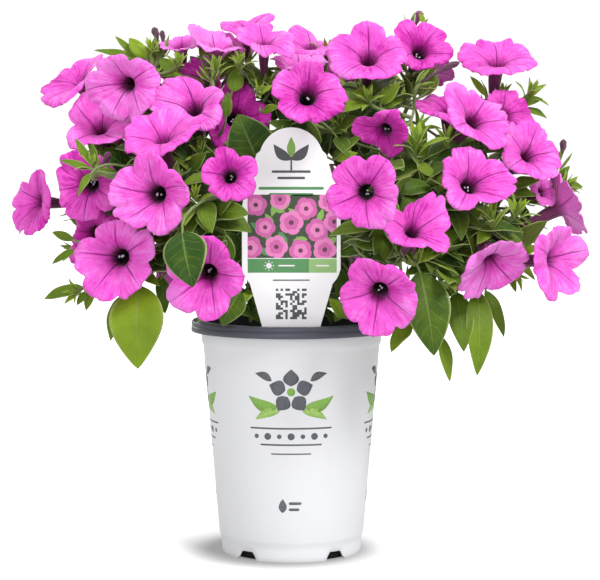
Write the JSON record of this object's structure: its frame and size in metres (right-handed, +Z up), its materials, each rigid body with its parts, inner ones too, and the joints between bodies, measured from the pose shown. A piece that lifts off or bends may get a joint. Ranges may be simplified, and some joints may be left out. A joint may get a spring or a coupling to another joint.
{
  "type": "potted petunia",
  "caption": "Bushy flowering petunia in a tall round white nursery pot with a turned-over rim, a stepped foot and an upright plant label in front.",
  "frame": {"origin": "On the pot's axis, at the level that the pot stands on, which is also the middle of the object's box from side to side and from front to back.", "axes": "+Z up. -Y is the front, where the label's face looks. +X is to the right of someone who reads the label."},
  "size_m": [0.3193, 0.2355, 0.3037],
  "materials": {
    "pot_plastic": "satin",
    "label_plastic": "satin",
    "potting_soil": "matte",
    "stem": "matte",
    "leaf": "matte",
    "petal": "matte"
  },
  "bodies": {
    "root": {"flower_01": "petal", "flower_02": "petal", "flower_03": "petal", "flower_04": "petal", "flower_05": "petal", "flower_06": "petal", "flower_07": "petal", "flower_08": "petal", "flower_09": "petal", "flower_10": "petal", "flower_12": "petal", "flower_13": "petal", "flower_14": "petal", "flower_15": "petal", "flower_16": "petal", "flower_17": "petal", "flower_18": "petal", "flower_19": "petal", "flower_20": "petal", "flower_21": "petal", "flower_23": "petal", "flower_24": "petal", "flower_25": "petal", "flower_26": "petal", "flower_27": "petal", "flower_28": "petal", "flower_29": "petal", "flower_30": "petal", "flower_31": "petal", "flower_33": "petal", "flower_34": "petal", "flower_35": "petal", "flower_back_1": "petal", "flower_back_2": "petal", "flower_back_3": "petal", "flower_back_4": "petal", "flower_back_5": "petal", "flower_back_6": "petal", "flower_back_7": "petal", "flower_back_8": "petal", "leaf_behind_label": "leaf", "leaf_hanging_left": "leaf", "leaf_hanging_outer": "leaf", "leaf_hanging_right": "leaf", "leaf_left_of_label": "leaf", "leaf_over_flower": "leaf", "leaf_right_of_label": "leaf", "plant_label": "label_plastic", "pot": "pot_plastic", "potting_soil": "potting_soil", "shoot_back_left": "stem", "shoot_back_right": "stem", "shoot_front_left": "stem", "shoot_front_right": "stem", "shoot_left": "stem", "shoot_right": "stem", "shoot_top": "stem", "shoot_top_left": "stem", "shoot_top_right": "stem"}
  },
  "joints": []
}
